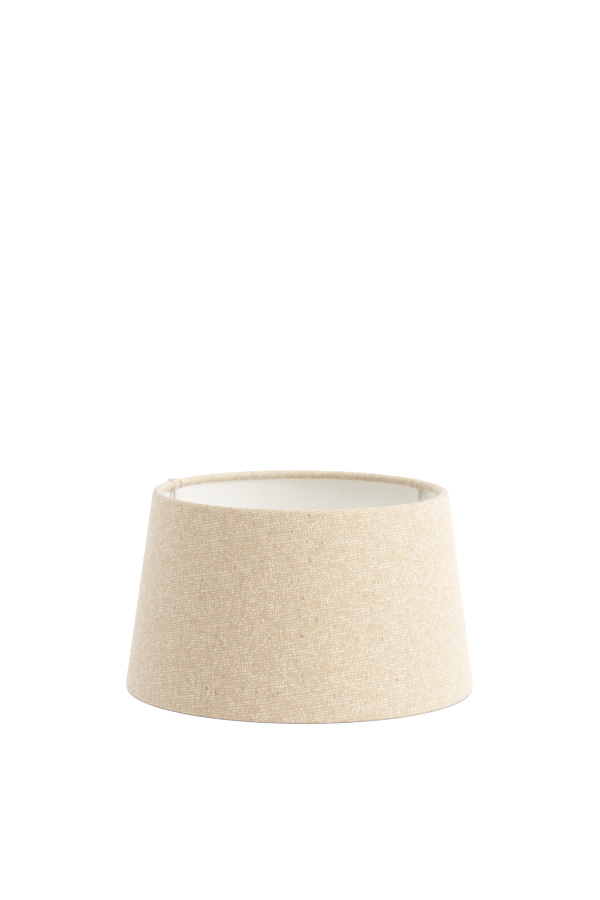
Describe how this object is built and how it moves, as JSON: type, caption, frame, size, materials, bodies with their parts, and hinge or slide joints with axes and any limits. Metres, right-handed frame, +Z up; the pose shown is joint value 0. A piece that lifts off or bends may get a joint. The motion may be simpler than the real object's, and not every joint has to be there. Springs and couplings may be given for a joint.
{
  "type": "lamp shade",
  "caption": "Tapered drum lamp shade in natural linen on a white lining, with rolled hems, wire rings, a drop fitter on bent arms and a lift-out reducer ring.",
  "frame": {"origin": "middle of the wide rim that the shade stands on, at the height of its underside", "axes": "+Z up along the shade's own axis, from the wide rim to the narrow rim; -Y towards the front arm; +X to the right seen from the front"},
  "size_m": [0.2, 0.2, 0.115],
  "materials": {
    "natural_linen": "plain weave of natural linen yarn with slubs and darker flecks, matt",
    "white_styrene": "smooth white sheet, satin",
    "clear_tape": "thin double-sided adhesive film",
    "white_wire": "round steel wire, white powder coat",
    "white_pressed_steel": "pressed steel sheet, white powder coat",
    "white_plastic": "moulded white plastic, fine satin"
  },
  "bodies": {
    "shade": {"linen_cover": "natural_linen", "styrene_lining": "white_styrene", "seam_tape": "clear_tape", "top_ring": "white_wire", "bottom_ring": "white_wire", "fitter_arm_1": "white_wire", "fitter_arm_2": "white_wire", "fitter_arm_3": "white_wire", "fitter_ring": "white_pressed_steel"},
    "reducer": {"reducer_ring": "white_plastic"}
  },
  "joints": [
    {"name": "reducer_lift", "type": "slide", "parent": "shade", "child": "reducer", "axis": [0, 0, 1], "range_m": [0, 0.09]}
  ]
}
